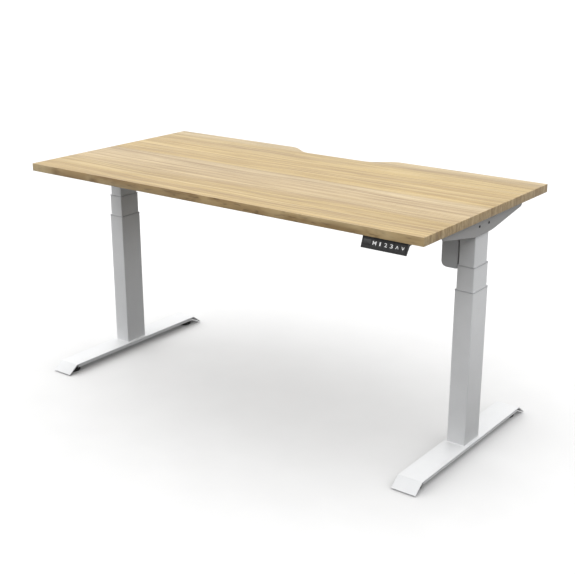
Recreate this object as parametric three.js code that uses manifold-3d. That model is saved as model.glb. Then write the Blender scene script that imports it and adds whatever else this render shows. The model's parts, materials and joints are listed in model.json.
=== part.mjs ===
// A height-adjustable standing desk: an oak-laminate top on two three-stage lifting columns and one motor.
// Units are millimetres and +Z is up. The origin is on the floor under the middle of the top:
// +X runs along the top to the handset's end, -Y is the side where the user sits, and Z = 0 is the floor.
// The desk stands 758 mm high here; the columns travel from 623 mm to 1273 mm.

import * as THREE from "three";
import { mergeVertices } from "three/addons/utils/BufferGeometryUtils.js";
import Module from "manifold-3d";

const wasm = await Module();
wasm.setup();

// ------------------------------------------------------------------ driving dimensions (mm)

const GAP = 0.3; // air left between two pieces that touch
const DESK_HEIGHT = 758; // floor to the top's upper face
const TOP = { length: 1500, depth: 750, thickness: 25 };
const BAND_THICKNESS = 1.5; // edge band round the top's core
const SCALLOP = { floorHalf: 135, mouthHalf: 208, depth: 55, cornerRadius: 22 }; // rear cable cut-out

const COLUMN_X = 704; // column axis from the middle of the desk
const FRAME_Y = -6; // the frame stands a little forward of the top's middle
const WALL = 1.5; // steel tube wall
const STAGE_GAP = 1.25; // room between one tube and the next, filled by the guide collar's sleeve
const OUTER = { x: 60, y: 90, radius: 3, z0: 32.7, z1: 514.2 };
const MIDDLE = { x: 54.5, y: 84.5, radius: 2.6, z0: 116, z1: 587.7 };
const INNER = { x: 49, y: 79, radius: 2.2, z0: 195, z1: 699.7 };
const COLLAR = { height: 3, proud: 1, sleeveLength: 30 }; // guide collar at each tube's mouth

const FOOT = { width: 79, halfLength: 346.5, flapRun: 37, topZ: 32.4, thickness: 3.6, tipZ: 1.6 };
const CHANNEL = { width: 74, depth: 10.6, wall: 2.4, halfLength: 300 }; // stiffener under the foot plate
const GLIDE_Y = 295; // glide's distance from the column axis
const PAD = { radius: 26, height: 11, hubRadius: 9, hubTop: 14, socketRadius: 5.6, socketZ: 6 };
const STUD = { radius: 5, z0: 6.4, z1: 26 };

const POST = { outer: 17, bore: 14.5, nutBore: 10.9, nutLength: 30, plate: 7.3, top: 500 };
const SLOT = { width: 8.6, z0: 46, z1: 460 }; // the post's slots, which the carrier's lugs run in
const CARRIER = { z0: 117, thickness: 6, lugWidth: 8, ringOuter: 14.1, ringBore: 8.3, relief: 17.4 };
const TUBE_SCREW = { outer: 10.5, bore: 6.8, spigot: 8, z0: 118, shoulder: 123.3, z1: 612 };
const LEAD_SCREW = { radius: 6.2, z0: 290, z1: 720, collarRadius: 9.5, collarZ: 697, collarHeight: 2.5 };

const GEAR_MODULE = 2;
const GEAR_TEETH = 22;
const PINION_TEETH = 18;
const GEAR_Z = { z0: 703.3, z1: 715.3 };
const PINION_X = -(GEAR_MODULE * (GEAR_TEETH + PINION_TEETH)) / 2; // inboard of the column axis
const PINION_SHAFT = { radius: 4, z0: 684.5 };
const WELL_ROOM = 2.2; // from a gear's pitch circle to the wall of its well
const TURNING_ROOM = 0.5; // between a turning bar and its hole

// The cross shaft runs beside the drive gears, with a worm between two shoulders at each of them.
const SHAFT = { y: 28, z: 709.3, radius: 4, wormCore: 4.2, shoulderRadius: 7.7, shoulderX: 13, endX: 16 };

const HEAD = { x0: -87, x1: 26.2, halfY: 43.5, z0: 690, z1: 729.9, socketZ: 700, floorZ: 703 };
const HEAD_SCREW = { radius: 2.6, depth: 8 };
const COVER = {
  x0: -86, x1: -32, halfY: 32, z0: 573.5, z1: 689.7, wall: 2, inboardRadius: 18, outboardRadius: 6,
};
const MOTOR = {
  x: -57.5, radius: 23, z0: 590, z1: 689.4, gearboxLength: 32, capRadius: 9, capHeight: 6, chamfer: 1,
  shaftBore: 4.6, shaftBoreDepth: 6,
};

const BRACKET = {
  webX0: 26.5, webThickness: 2.5, flangeX: -40, halfLength: 243, topZ: 732.7,
  tipZ: 715.6, flatHalf: 50, flatZ: 682.4, tipRadius: 10, blend: 22,
  webHoleY: 28.3, webHoleZ: 709.7, webHoleRadius: 3.5, screwY: [100, 205], screwRadius: 3.2,
};
const BEAM = { halfLength: 380, halfY: 22, z0: 695.5, z1: 726.5, wall: 2 }; // middle rail of the crossbeam
const RAIL = { x0: 150, flangeThickness: 3, flangeHalfY: 23, flangeZ0: 691, flangeZ1: 729.5 };

const BOX = { halfX: 130, y0: 60, y1: 160, z0: 696, z1: 732.7, wall: 3, coverThickness: 2.5 };
const INLET = { x: 80, halfX: 14, halfZ: 10, depth: 14, z: 715 };
const HANDSET_SOCKET = { x: 20, z: 724 }; // where the handset's lead enters the control box's front
const MOTOR_SOCKET = { y: 110, z: 715 }; // where the motor's lead enters the control box's end

const HANDSET = {
  x: 628, width: 140, faceY: -374.8, faceZ: 699.5, faceHeight: 35, tilt: THREE.MathUtils.degToRad(19.6),
  tabY: -300, tabZ: 726.5, topZ: 732.6, chinY: 4.2, chinZ: -1.5, heelY: 19.8, heelZ: 22, ledge: 1.5,
};
const PANEL = { halfX: 67.7, z0: 2.3, z1: 32.7, front: 0.3, thickness: 1.5 };
const KEY = {
  pitch: 17.4, firstX: -29.6, width: 15.6, height: 22, z: 17.5, front: -0.4,
  flangeReachX: 0.5, flangeReachZ: 1, flangeBack: 3.1, roomDepth: 4.2,
};
const KEY_NAMES = ["key_memory", "key_preset_1", "key_preset_2", "key_preset_3", "key_up", "key_down"];

const HANDSET_LEAD = { radius: 2, steps: 66 };
const MOTOR_LEAD = { radius: 2.5, steps: 46, outletZ: 668 };
const LEAD_Z = 729.3; // leads run just under the top

const UNDERSIDE_Z = DESK_HEIGHT - TOP.thickness;

// ------------------------------------------------------------------ materials

const material = (color, roughness, metalness) =>
  new THREE.MeshStandardMaterial({ color, roughness, metalness });
const LAMINATE = material(0xdfc697, 0.5, 0);
const EDGE_BAND = material(0xa08c66, 0.55, 0);
const POWDER_COAT = material(0xd9dadb, 0.5, 0.05);
const GREY_COAT = material(0x8f8f8d, 0.5, 0.05);
const COLLAR_NYLON = material(0xc9cacb, 0.6, 0);
const COVER_PLASTIC = material(0x9a9b9c, 0.6, 0);
const BLACK_PLASTIC = material(0x232323, 0.5, 0);
const KEY_PLASTIC = material(0x2b2b2b, 0.45, 0);
const BLACK_RUBBER = material(0x161616, 0.85, 0);
const ZINC_STEEL = material(0xb4b8bc, 0.35, 1);
const CAST_ALUMINIUM = material(0xa7a9ab, 0.5, 1);
const GEAR_STEEL = material(0x8d8f92, 0.4, 1);
const GEAR_NYLON = material(0xe6e2d2, 0.5, 0);
const LEAD_SHEATH = material(0x1b1b1c, 0.6, 0);

// ------------------------------------------------------------------ geometry helpers

const MERGE_DISTANCE = 1e-4;

// A closed geometry as a manifold-3d solid, for cutting and joining.
function solidOf(geometry) {
  const bare = geometry.clone();
  bare.deleteAttribute("normal");
  bare.deleteAttribute("uv");
  const merged = mergeVertices(bare, MERGE_DISTANCE);
  const triVerts = new Uint32Array(merged.index.array);
  const vertProperties = merged.attributes.position.array;
  return new wasm.Manifold(new wasm.Mesh({ numProp: 3, vertProperties, triVerts }));
}

function geometryOf(solid) {
  const mesh = solid.getMesh();
  const geometry = new THREE.BufferGeometry();
  geometry.setAttribute("position", new THREE.BufferAttribute(mesh.vertProperties, 3));
  geometry.setIndex(new THREE.BufferAttribute(mesh.triVerts, 1));
  return geometry;
}

const cut = (body, ...tools) =>
  geometryOf(tools.reduce((left, tool) => left.subtract(solidOf(tool)), solidOf(body)));

const join = (...bodies) =>
  geometryOf(bodies.slice(1).reduce((whole, body) => whole.add(solidOf(body)), solidOf(bodies[0])));

// A box given by its two ends along each axis.
function box(x0, x1, y0, y1, z0, z1) {
  const geometry = new THREE.BoxGeometry(x1 - x0, y1 - y0, z1 - z0);
  return geometry.translate((x0 + x1) / 2, (y0 + y1) / 2, (z0 + z1) / 2);
}

// An upright cylinder between two heights.
function rod(radius, z0, z1, x = 0, y = 0, sides = 24) {
  const geometry = new THREE.CylinderGeometry(radius, radius, z1 - z0, sides);
  return geometry.rotateX(Math.PI / 2).translate(x, y, (z0 + z1) / 2);
}

// A cylinder lying along X or along Y.
function rodAlongX(radius, x0, x1, y, z, sides = 12) {
  const geometry = new THREE.CylinderGeometry(radius, radius, x1 - x0, sides);
  return geometry.rotateZ(Math.PI / 2).translate((x0 + x1) / 2, y, z);
}

// A shape in the XY plane, pulled up from z0 to z1.
function pullUp(shape, z0, z1, curveSegments = 3) {
  const options = { depth: z1 - z0, bevelEnabled: false, curveSegments };
  return new THREE.ExtrudeGeometry(shape, options).translate(0, 0, z0);
}

// A shape drawn in (y, z), pulled along X from x0 to x1.
function pullAlongX(shape, x0, x1, curveSegments = 3) {
  const axes = new THREE.Matrix4().makeBasis(
    new THREE.Vector3(0, 1, 0),
    new THREE.Vector3(0, 0, 1),
    new THREE.Vector3(1, 0, 0),
  );
  return pullUp(shape, 0, x1 - x0, curveSegments).applyMatrix4(axes).translate(x0, 0, 0);
}

// A shape drawn in (x, z), pulled along Y from y0 to y1.
function pullAlongY(shape, y0, y1, curveSegments = 3) {
  const axes = new THREE.Matrix4().makeBasis(
    new THREE.Vector3(1, 0, 0),
    new THREE.Vector3(0, 0, 1),
    new THREE.Vector3(0, -1, 0),
  );
  return pullUp(shape, 0, y1 - y0, curveSegments).applyMatrix4(axes).translate(0, y1, 0);
}

const polygon = (points) => new THREE.Shape(points.map(([x, y]) => new THREE.Vector2(x, y)));

// A profile of [radius, height] points turned about the Z axis.
function turned(points, sides = 24) {
  const profile = points.map(([r, z]) => new THREE.Vector2(r, z));
  return new THREE.LatheGeometry(profile, sides).rotateX(Math.PI / 2);
}

// A rectangle with rounded corners, centred on the origin.
function roundedRectangle(width, depth, radius, Kind = THREE.Shape) {
  const x = width / 2 - radius;
  const y = depth / 2 - radius;
  const shape = new Kind();
  shape.absarc(x, y, radius, 0, Math.PI / 2);
  shape.absarc(-x, y, radius, Math.PI / 2, Math.PI);
  shape.absarc(-x, -y, radius, Math.PI, 1.5 * Math.PI);
  shape.absarc(x, -y, radius, 1.5 * Math.PI, 2 * Math.PI);
  shape.closePath();
  return shape;
}

// A rounded rectangular ring whose wall is given by its thickness.
function rectangularRing(width, depth, radius, wall) {
  const shape = roundedRectangle(width, depth, radius);
  const inside = Math.max(radius - wall, 0.5);
  shape.holes.push(roundedRectangle(width - 2 * wall, depth - 2 * wall, inside, THREE.Path));
  return shape;
}

// A round lead along a smooth curve through hand-set points.
function lead(points, radius, steps) {
  const corners = points.map((p) => new THREE.Vector3(...p));
  const path = new THREE.CatmullRomCurve3(corners, false, "centripetal");
  const section = new THREE.Shape();
  section.absarc(0, 0, radius, 0, 2 * Math.PI);
  const options = { steps, bevelEnabled: false, extrudePath: path, curveSegments: 4 };
  return new THREE.ExtrudeGeometry(section, options);
}

function named(name, geometry, meshMaterial) {
  const mesh = new THREE.Mesh(geometry, meshMaterial);
  mesh.name = name;
  return mesh;
}

// ------------------------------------------------------------------ the top

// The top's outline pulled in by `inset`: a rectangle whose rear edge steps forward in a flat scallop.
function topOutline(inset) {
  const x = TOP.length / 2 - inset;
  const y = TOP.depth / 2 - inset;
  const ramp = Math.atan2(SCALLOP.depth, SCALLOP.mouthHalf - SCALLOP.floorHalf);
  const shift = inset * Math.tan(ramp / 2);
  const floor = [SCALLOP.floorHalf + shift, y - SCALLOP.depth];
  const mouth = [SCALLOP.mouthHalf + shift, y];
  const shape = new THREE.Shape();
  shape.moveTo(-x, -y);
  shape.lineTo(x, -y);
  shape.lineTo(x, y);
  softCorner(shape, mouth, [x, y], floor);
  softCorner(shape, floor, mouth, [0, floor[1]]);
  softCorner(shape, [-floor[0], floor[1]], [0, floor[1]], [-mouth[0], y]);
  softCorner(shape, [-mouth[0], y], [-floor[0], floor[1]], [-x, y]);
  shape.lineTo(-x, y);
  shape.closePath();
  return shape;
}

// Rounds the corner at `corner` between the points before and after it with one quadratic curve.
function softCorner(shape, corner, before, after) {
  const toward = (to) => {
    const length = Math.hypot(to[0] - corner[0], to[1] - corner[1]);
    const share = SCALLOP.cornerRadius / length;
    return [corner[0] + (to[0] - corner[0]) * share, corner[1] + (to[1] - corner[1]) * share];
  };
  shape.lineTo(...toward(before));
  shape.quadraticCurveTo(...corner, ...toward(after));
}

function makeTop() {
  const core = pullUp(topOutline(BAND_THICKNESS + GAP), UNDERSIDE_Z, DESK_HEIGHT, 6);
  const ring = topOutline(0);
  ring.holes.push(topOutline(BAND_THICKNESS));
  const band = pullUp(ring, UNDERSIDE_Z, DESK_HEIGHT, 6);
  return [named("desktop", core, LAMINATE), named("edge_band", band, EDGE_BAND)];
}

// ------------------------------------------------------------------ one side: foot, column and bracket
// Every function below works in the column's own frame: +X points outwards, and the column's axis is Z.

// The foot plate: a flat strip whose two ends bend down in a sloping flap.
function makeFootPlate() {
  const flat = FOOT.halfLength - FOOT.flapRun;
  const drop = FOOT.topZ - FOOT.tipZ - FOOT.thickness;
  const slope = Math.atan2(drop, FOOT.flapRun);
  const inner = FOOT.thickness * Math.tan(slope / 2);
  const lipY = FOOT.halfLength - FOOT.thickness * Math.sin(slope);
  const lipZ = FOOT.topZ - drop - FOOT.thickness * Math.cos(slope);
  const half = [
    [flat, FOOT.topZ],
    [FOOT.halfLength, FOOT.topZ - drop],
    [lipY, lipZ],
    [flat - inner, FOOT.topZ - FOOT.thickness],
  ];
  const otherHalf = half.map(([y, z]) => [-y, z]).reverse();
  return pullAlongX(polygon([...half, ...otherHalf]), -FOOT.width / 2, FOOT.width / 2);
}

// The U-shaped stiffener under the foot plate, with a threaded hole for each glide.
function makeFootChannel() {
  const top = FOOT.topZ - FOOT.thickness - GAP;
  const bottom = top - CHANNEL.depth;
  const half = CHANNEL.width / 2;
  const { wall, halfLength } = CHANNEL;
  const body = box(-half, half, -halfLength, halfLength, bottom, top);
  const trough = box(-half + wall, half - wall, -halfLength - 1, halfLength + 1, bottom + wall, top + 1);
  const holes = [-GLIDE_Y, GLIDE_Y].map((y) => rod(STUD.radius + GAP, bottom - 1, top, 0, y, 16));
  return cut(body, trough, ...holes);
}

function makePad() {
  return turned([
    [0, 0], [PAD.radius - 1, 0], [PAD.radius, 1], [PAD.radius, PAD.height - 4],
    [PAD.radius - 4, PAD.height], [PAD.hubRadius, PAD.height + 1], [PAD.hubRadius, PAD.hubTop],
    [PAD.socketRadius, PAD.hubTop], [PAD.socketRadius, PAD.socketZ], [0, PAD.socketZ],
  ]);
}

function makeTube({ x, y, radius, z0, z1 }) {
  return pullUp(rectangularRing(x, y, radius, WALL), z0, z1);
}

// The guide collar in a tube's mouth: a slightly proud rim and a thin sleeve that the next tube slides in.
function makeCollar(tube) {
  const grow = 2 * COLLAR.proud;
  const room = 2 * (WALL + GAP);
  const sleeveWall = STAGE_GAP - 2 * GAP;
  const sleeve = rectangularRing(tube.x - room, tube.y - room, tube.radius - WALL - GAP, sleeveWall);
  const rimWall = COLLAR.proud + WALL + GAP + sleeveWall;
  const rim = rectangularRing(tube.x + grow, tube.y + grow, tube.radius + COLLAR.proud, rimWall);
  const seat = tube.z1 + GAP;
  return join(
    pullUp(sleeve, seat - COLLAR.sleeveLength, seat + COLLAR.height),
    pullUp(rim, seat, seat + COLLAR.height),
  );
}

// The post: a plate on the foot and an upright tube whose nut at the top drives the tube screw.
function makePost() {
  const room = 2 * (WALL + GAP);
  const plateTop = OUTER.z0 + POST.plate;
  const plate = roundedRectangle(OUTER.x - room, OUTER.y - room, OUTER.radius - WALL - GAP);
  const body = join(pullUp(plate, OUTER.z0, plateTop), rod(POST.outer, plateTop - 1, POST.top));
  const bore = rod(POST.bore, plateTop, POST.top - POST.nutLength);
  const nut = rod(POST.nutBore, POST.top - POST.nutLength - 1, POST.top + 1);
  const slots = box(-SLOT.width / 2, SLOT.width / 2, -POST.outer - 1, POST.outer + 1, SLOT.z0, SLOT.z1);
  return cut(body, bore, nut, slots);
}

// The carrier closes the middle tube's lower end; its lugs reach through the post's slots to the bearing ring.
function makeCarrier() {
  const room = 2 * (WALL + GAP);
  const z1 = CARRIER.z0 + CARRIER.thickness;
  const plate = roundedRectangle(MIDDLE.x - room, MIDDLE.y - room, MIDDLE.radius - WALL - GAP);
  const above = z1 + 1;
  const below = CARRIER.z0 - 1;
  const lug = CARRIER.lugWidth / 2;
  const lugs = box(-lug, lug, -POST.outer - 2, POST.outer + 2, below, above);
  const ring = rod(CARRIER.ringOuter, below - 1, above + 1);
  const relief = cut(rod(CARRIER.relief, below, above), ring, lugs);
  return cut(pullUp(plate, CARRIER.z0, z1), relief, rod(CARRIER.ringBore, below, above));
}

function makeTubeScrew() {
  const { outer, bore, spigot, z0, shoulder, z1 } = TUBE_SCREW;
  return turned([
    [bore, z0], [spigot, z0], [spigot, shoulder], [outer, shoulder], [outer, z1], [bore, z1], [bore, z0],
  ]);
}

function makeLeadScrew() {
  const { radius, z0, z1, collarRadius, collarZ, collarHeight } = LEAD_SCREW;
  const collarTop = collarZ + collarHeight;
  return turned([
    [0, z0], [radius, z0], [radius, collarZ], [collarRadius, collarZ],
    [collarRadius, collarTop], [radius, collarTop], [radius, z1], [0, z1],
  ], 20);
}

// A spur gear: each tooth is a trapezium whose sides slope like an involute at the pitch line.
function gearShape(teeth, turn) {
  const pitchRadius = (GEAR_MODULE * teeth) / 2;
  const tip = pitchRadius + 0.85 * GEAR_MODULE;
  const root = pitchRadius - 1.1 * GEAR_MODULE;
  const step = (2 * Math.PI) / teeth;
  const corners = [[root, -0.33], [tip, -0.12], [tip, 0.12], [root, 0.33]];
  const points = [];
  for (let tooth = 0; tooth < teeth; tooth += 1) {
    for (const [radius, share] of corners) {
      const angle = turn + (tooth + share) * step;
      points.push([radius * Math.cos(angle), radius * Math.sin(angle)]);
    }
  }
  return polygon(points);
}

function makeDriveGear() {
  const gear = pullUp(gearShape(GEAR_TEETH, 0), GEAR_Z.z0, GEAR_Z.z1);
  return cut(gear, rod(LEAD_SCREW.radius + GAP, GEAR_Z.z0 - 1, GEAR_Z.z1 + 1));
}

function makePinion() {
  const gear = pullUp(gearShape(PINION_TEETH, Math.PI / PINION_TEETH), GEAR_Z.z0, GEAR_Z.z1);
  const shaft = rod(PINION_SHAFT.radius, PINION_SHAFT.z0, GEAR_Z.z0 + 1, 0, 0, 16);
  return join(gear, shaft).translate(PINION_X, 0, 0);
}

// The cast head: it sockets the inner tube and houses the gears. Both sides use the same casting, so the left
// one has a well for a pinion too. A bore from the inboard face lets the cross shaft in beside the gear.
function makeHead() {
  const body = box(HEAD.x0, HEAD.x1, -HEAD.halfY, HEAD.halfY, HEAD.z0, HEAD.z1);
  const socketShape = roundedRectangle(INNER.x + 2 * GAP, INNER.y + 2 * GAP, INNER.radius + GAP);
  const socket = pullUp(socketShape, HEAD.z0 - 1, HEAD.socketZ);
  const gearRoom = (GEAR_MODULE * GEAR_TEETH) / 2 + WELL_ROOM;
  const pinionRoom = (GEAR_MODULE * PINION_TEETH) / 2 + WELL_ROOM;
  const screwHole = rod(LEAD_SCREW.radius + TURNING_ROOM, HEAD.socketZ - 1, HEAD.floorZ + 1, 0, 0, 20);
  const pinionHole = rod(PINION_SHAFT.radius + TURNING_ROOM, HEAD.z0 - 1, HEAD.floorZ + 1, PINION_X, 0, 16);
  const shaftRoom = SHAFT.shoulderRadius + TURNING_ROOM;
  const shaftBore = rodAlongX(shaftRoom, HEAD.x0 - 1, SHAFT.endX + TURNING_ROOM, SHAFT.y, SHAFT.z, 24);
  const webScrews = [-BRACKET.webHoleY, BRACKET.webHoleY].map((y) =>
    rodAlongX(HEAD_SCREW.radius, HEAD.x1 - HEAD_SCREW.depth, HEAD.x1 + 1, y, BRACKET.webHoleZ, 8));
  const top = HEAD.z1 + 1;
  const gearWell = rod(gearRoom, HEAD.floorZ, top);
  const pinionWell = rod(pinionRoom, HEAD.floorZ, top, PINION_X);
  return cut(body, socket, gearWell, pinionWell, screwHole, pinionHole, shaftBore, ...webScrews);
}

function makeMotor() {
  const { x, radius, z0, z1, gearboxLength, capRadius, capHeight, chamfer } = MOTOR;
  const canRadius = radius - 1;
  const canTop = z1 - gearboxLength;
  const can = turned([
    [0, z0 - capHeight], [capRadius, z0 - capHeight], [capRadius, z0], [canRadius - chamfer, z0],
    [canRadius, z0 + chamfer], [canRadius, canTop], [radius, canTop], [radius, z1], [0, z1],
  ]).translate(x, 0, 0);
  return cut(can, rod(MOTOR.shaftBore, z1 - MOTOR.shaftBoreDepth, z1 + 1, PINION_X, 0, 16));
}

// The cover's front outline in (x, z): straight sides and a bottom rounded more on its inboard corner.
function coverOutline(inset, top) {
  const x0 = COVER.x0 + inset;
  const x1 = COVER.x1 - inset;
  const z0 = COVER.z0 + inset;
  const inboard = COVER.inboardRadius - inset;
  const outboard = COVER.outboardRadius - inset;
  const shape = new THREE.Shape();
  shape.moveTo(x1, top);
  shape.lineTo(x0, top);
  shape.lineTo(x0, z0 + inboard);
  shape.absarc(x0 + inboard, z0 + inboard, inboard, Math.PI, 1.5 * Math.PI);
  shape.lineTo(x1 - outboard, z0);
  shape.absarc(x1 - outboard, z0 + outboard, outboard, 1.5 * Math.PI, 2 * Math.PI);
  shape.closePath();
  return shape;
}

function makeCover() {
  const outside = pullAlongY(coverOutline(0, COVER.z1), -COVER.halfY, COVER.halfY, 6);
  const roomY = COVER.halfY - COVER.wall;
  return cut(outside, pullAlongY(coverOutline(COVER.wall, COVER.z1 + 1), -roomY, roomY, 6));
}

// The bracket's web in (y, z): deepest over the column, tapering to a rounded tip at each end.
function webShape() {
  const { halfLength, topZ, tipZ, flatHalf, flatZ, tipRadius, blend } = BRACKET;
  const slope = (tipZ - flatZ) / (halfLength - flatHalf);
  const shape = new THREE.Shape();
  shape.moveTo(halfLength, topZ);
  shape.lineTo(-halfLength, topZ);
  for (const side of [-1, 1]) {
    const tip = [
      [side * halfLength, tipZ + tipRadius],
      [side * halfLength, tipZ],
      [side * (halfLength - tipRadius), tipZ - slope * tipRadius],
    ];
    const knee = [
      [side * (flatHalf + blend), flatZ + slope * blend],
      [side * flatHalf, flatZ],
      [side * (flatHalf - blend), flatZ],
    ];
    const corners = side < 0 ? [tip, knee] : [knee.reverse(), tip.reverse()];
    for (const [start, middle, end] of corners) {
      shape.lineTo(...start);
      shape.quadraticCurveTo(...middle, ...end);
    }
  }
  shape.closePath();
  return shape;
}

function makeBracket() {
  const x1 = BRACKET.webX0 + BRACKET.webThickness;
  const web = pullAlongX(webShape(), BRACKET.webX0, x1, 4);
  const flangeZ = BRACKET.topZ - BRACKET.webThickness;
  const { halfLength, topZ } = BRACKET;
  const flange = box(BRACKET.flangeX, x1, -halfLength, halfLength, flangeZ, topZ);
  const webHoles = [-BRACKET.webHoleY, BRACKET.webHoleY].map((y) =>
    rodAlongX(BRACKET.webHoleRadius, BRACKET.webX0 - 1, x1 + 1, y, BRACKET.webHoleZ));
  const screwHoles = BRACKET.screwY.flatMap((y) => [-y, y]).map((y) =>
    rod(BRACKET.screwRadius, flangeZ - 1, topZ + 1, 0, y, 12));
  return cut(join(web, flange), ...webHoles, ...screwHoles);
}

// One half of the crossbeam's sliding rail, in the column's frame, with the flange that meets the head.
function makeRail() {
  const inset = BEAM.wall + GAP;
  const x0 = RAIL.x0 - COLUMN_X;
  const x1 = HEAD.x0 - GAP;
  const halfY = BEAM.halfY - inset;
  const z0 = BEAM.z0 + inset;
  const z1 = BEAM.z1 - inset;
  const wall = BEAM.wall;
  const bar = box(x0, x1 - 1, -halfY, halfY, z0, z1);
  const { flangeThickness, flangeHalfY, flangeZ0, flangeZ1 } = RAIL;
  const flange = box(x1 - flangeThickness, x1, -flangeHalfY, flangeHalfY, flangeZ0, flangeZ1);
  return cut(join(bar, flange), box(x0 - 1, x1 + 1, -halfY + wall, halfY - wall, z0 + wall, z1 - wall));
}

// The column's frame in the desk: the left one is the mirror of the right one.
function columnFrame(sign) {
  const frame = new THREE.Group();
  frame.position.set(sign * COLUMN_X, FRAME_Y, 0);
  frame.scale.x = sign;
  return frame;
}

function makeSide(prefix, sign) {
  const side = columnFrame(sign);
  const pieces = [
    ["foot_plate", makeFootPlate(), POWDER_COAT],
    ["foot_channel", makeFootChannel(), POWDER_COAT],
    ["spindle_post", makePost(), ZINC_STEEL],
    ["outer_tube", makeTube(OUTER), POWDER_COAT],
    ["outer_collar", makeCollar(OUTER), COLLAR_NYLON],
    ["middle_tube", makeTube(MIDDLE), POWDER_COAT],
    ["middle_collar", makeCollar(MIDDLE), COLLAR_NYLON],
    ["stage_carrier", makeCarrier(), ZINC_STEEL],
    ["tube_screw", makeTubeScrew(), ZINC_STEEL],
    ["inner_tube", makeTube(INNER), POWDER_COAT],
    ["lead_screw", makeLeadScrew(), GEAR_STEEL],
    ["drive_gear", makeDriveGear(), GEAR_NYLON],
    ["gear_head", makeHead(), CAST_ALUMINIUM],
    ["side_bracket", makeBracket(), GREY_COAT],
    ["crossbeam_rail", makeRail(), POWDER_COAT],
  ];
  for (const [name, geometry, look] of pieces) {
    side.add(named(`${prefix}_${name}`, geometry, look));
  }
  for (const [place, y] of [["front", -GLIDE_Y], ["rear", GLIDE_Y]]) {
    const pad = named(`${prefix}_${place}_glide_pad`, makePad(), BLACK_RUBBER);
    const bolt = rod(STUD.radius, STUD.z0, STUD.z1, 0, 0, 16);
    const stud = named(`${prefix}_${place}_glide_stud`, bolt, ZINC_STEEL);
    pad.position.y = y;
    stud.position.y = y;
    side.add(pad, stud);
  }
  return side;
}

// The one motor, under the right head in its cover.
function makeDrive() {
  const drive = columnFrame(1);
  drive.add(
    named("motor", makeMotor(), ZINC_STEEL),
    named("motor_pinion", makePinion(), GEAR_STEEL),
    named("motor_cover", makeCover(), COVER_PLASTIC),
  );
  return drive;
}

// ------------------------------------------------------------------ between the sides

// The worm's core between its two shoulders, lying along X about the origin.
function makeWorm() {
  const { wormCore, shoulderRadius, shoulderX, endX } = SHAFT;
  const half = [[shoulderRadius, endX], [shoulderRadius, shoulderX], [wormCore, shoulderX]];
  const otherHalf = half.map(([radius, x]) => [radius, -x]);
  return turned([[0, -endX], ...otherHalf, ...half.reverse(), [0, endX]]).rotateY(Math.PI / 2);
}

// The hexagonal shaft that carries the turn of the right drive gear over to the left one.
function makeDriveShaft() {
  const reach = COLUMN_X + SHAFT.shoulderX;
  const bar = rodAlongX(SHAFT.radius, -reach, reach, 0, 0, 6);
  const worms = [-COLUMN_X, COLUMN_X].map((x) => makeWorm().translate(x, 0, 0));
  const shaft = named("drive_shaft", join(bar, ...worms), GEAR_STEEL);
  shaft.position.set(0, FRAME_Y + SHAFT.y, SHAFT.z);
  return shaft;
}

function makeBeam() {
  const { halfLength, halfY, z0, z1, wall } = BEAM;
  const body = box(-halfLength, halfLength, -halfY, halfY, z0, z1);
  const inside = box(-halfLength - 1, halfLength + 1, -halfY + wall, halfY - wall, z0 + wall, z1 - wall);
  const beam = named("crossbeam_middle", cut(body, inside), POWDER_COAT);
  beam.position.y = FRAME_Y;
  return beam;
}

// The control box: a shell against the underside of the top, closed from below by a plate.
function makeControlBox() {
  const { halfX, y0, y1, z0, z1, wall, coverThickness } = BOX;
  const shell = box(-halfX, halfX, y0, y1, z0, z1);
  const room = box(-halfX + wall, halfX - wall, y0 + wall, y1 - wall, z0 - 1, z1 - wall);
  const inletX = [INLET.x - INLET.halfX, INLET.x + INLET.halfX];
  const inletBack = y1 - INLET.depth;
  const inletZ = [INLET.z - INLET.halfZ, INLET.z + INLET.halfZ];
  const inlet = box(...inletX, inletBack, y1 + 1, ...inletZ);
  const housing = box(
    inletX[0] - wall, inletX[1] + wall, inletBack - wall, y1 - wall / 2, inletZ[0] - wall, z1 - wall / 2,
  );
  const body = cut(join(cut(shell, room), housing), inlet);
  const edge = wall + GAP;
  const cover = box(-halfX + edge, halfX - edge, y0 + edge, y1 - edge, z0, z0 + coverThickness);
  return [
    named("control_box_body", body, BLACK_PLASTIC),
    named("control_box_cover", cover, BLACK_PLASTIC),
  ];
}

// ------------------------------------------------------------------ the handset
// Its face leans back by HANDSET.tilt. In the face's frame X runs along it, Z up it and +Y goes into it.

function faceFrame() {
  const frame = new THREE.Group();
  frame.position.set(HANDSET.x, HANDSET.faceY, HANDSET.faceZ);
  frame.rotation.x = -HANDSET.tilt;
  frame.updateMatrixWorld(true);
  return frame;
}

function makeHandsetCase(frame) {
  const lean = HANDSET.faceHeight * Math.sin(HANDSET.tilt);
  const rise = HANDSET.faceHeight * Math.cos(HANDSET.tilt);
  const half = HANDSET.width / 2;
  const side = polygon([
    [HANDSET.faceY, HANDSET.faceZ],
    [HANDSET.faceY + HANDSET.chinY, HANDSET.faceZ + HANDSET.chinZ],
    [HANDSET.faceY + HANDSET.heelY, HANDSET.faceZ + HANDSET.heelZ],
    [HANDSET.tabY, HANDSET.tabZ],
    [HANDSET.tabY, HANDSET.topZ],
    [HANDSET.faceY + lean, HANDSET.faceZ + rise],
  ]);
  const body = pullAlongX(side, HANDSET.x - half, HANDSET.x + half);
  const seat = PANEL.front + PANEL.thickness + GAP;
  const recessX = PANEL.halfX + GAP;
  const recess = box(-recessX, recessX, -1, seat, PANEL.z0 - GAP, PANEL.z1 + GAP);
  const roomX = PANEL.halfX - HANDSET.ledge;
  const roomZ = [PANEL.z0 + HANDSET.ledge, PANEL.z1 - HANDSET.ledge];
  const room = box(-roomX, roomX, 1, KEY.roomDepth, ...roomZ);
  return cut(body, recess.applyMatrix4(frame.matrixWorld), room.applyMatrix4(frame.matrixWorld));
}

const keyX = (index) => KEY.firstX + index * KEY.pitch;

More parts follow.
